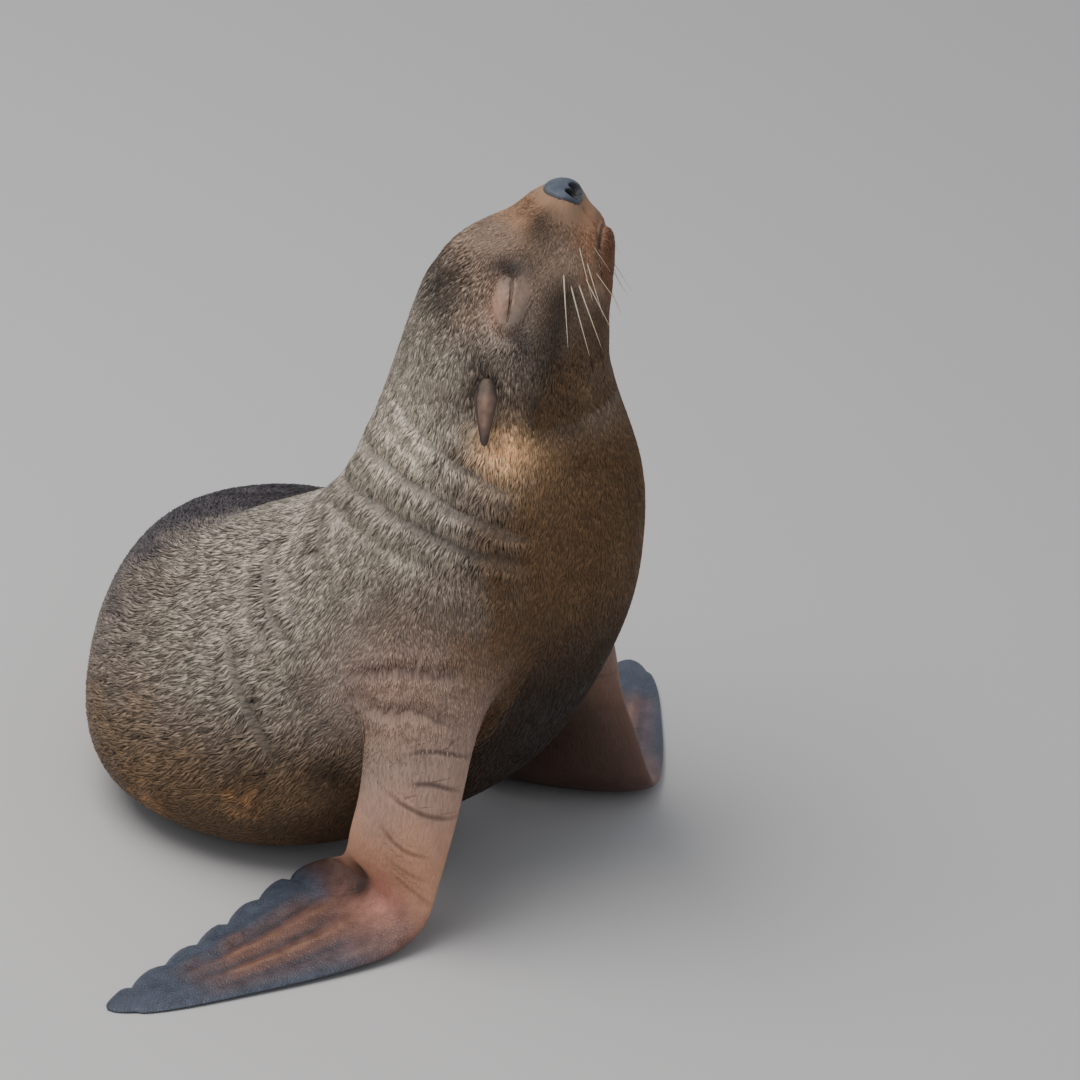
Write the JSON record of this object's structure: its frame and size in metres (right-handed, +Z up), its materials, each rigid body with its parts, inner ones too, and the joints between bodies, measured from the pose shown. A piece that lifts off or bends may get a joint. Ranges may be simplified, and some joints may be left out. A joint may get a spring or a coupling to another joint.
{
  "type": "sea lion",
  "caption": "Life-size young sea lion sitting with its chest raised on its fore flippers, nose in the air and eyes closed.",
  "frame": {"origin": "the middle of the patch of belly that rests on the floor", "axes": "+Z up; the animal's chest faces -Y and its left side is +X"},
  "size_m": [0.9266, 0.716, 0.7322],
  "materials": {
    "coat": "short damp grey-brown coat",
    "chest_coat": "smooth dark brown coat of the chest",
    "flipper_skin": "thin dark fur over the hand, bare slate skin at its edges",
    "ear_skin": "pinkish grey skin",
    "bare_skin": "damp dark bare skin"
  },
  "bodies": {
    "root": {"head": "coat", "neck": "coat", "chest": "chest_coat", "trunk": "coat", "hips": "coat", "tail": "coat", "lower_jaw": "chest_coat", "nose": "bare_skin", "eyelid_right": "bare_skin", "eyelid_left": "bare_skin", "ear_right": "ear_skin", "ear_left": "ear_skin", "forearm_right": "chest_coat", "forearm_left": "chest_coat", "fore_flipper_right": "flipper_skin", "fore_flipper_left": "flipper_skin", "hind_flipper_right": "flipper_skin", "hind_flipper_left": "flipper_skin"}
  },
  "joints": []
}
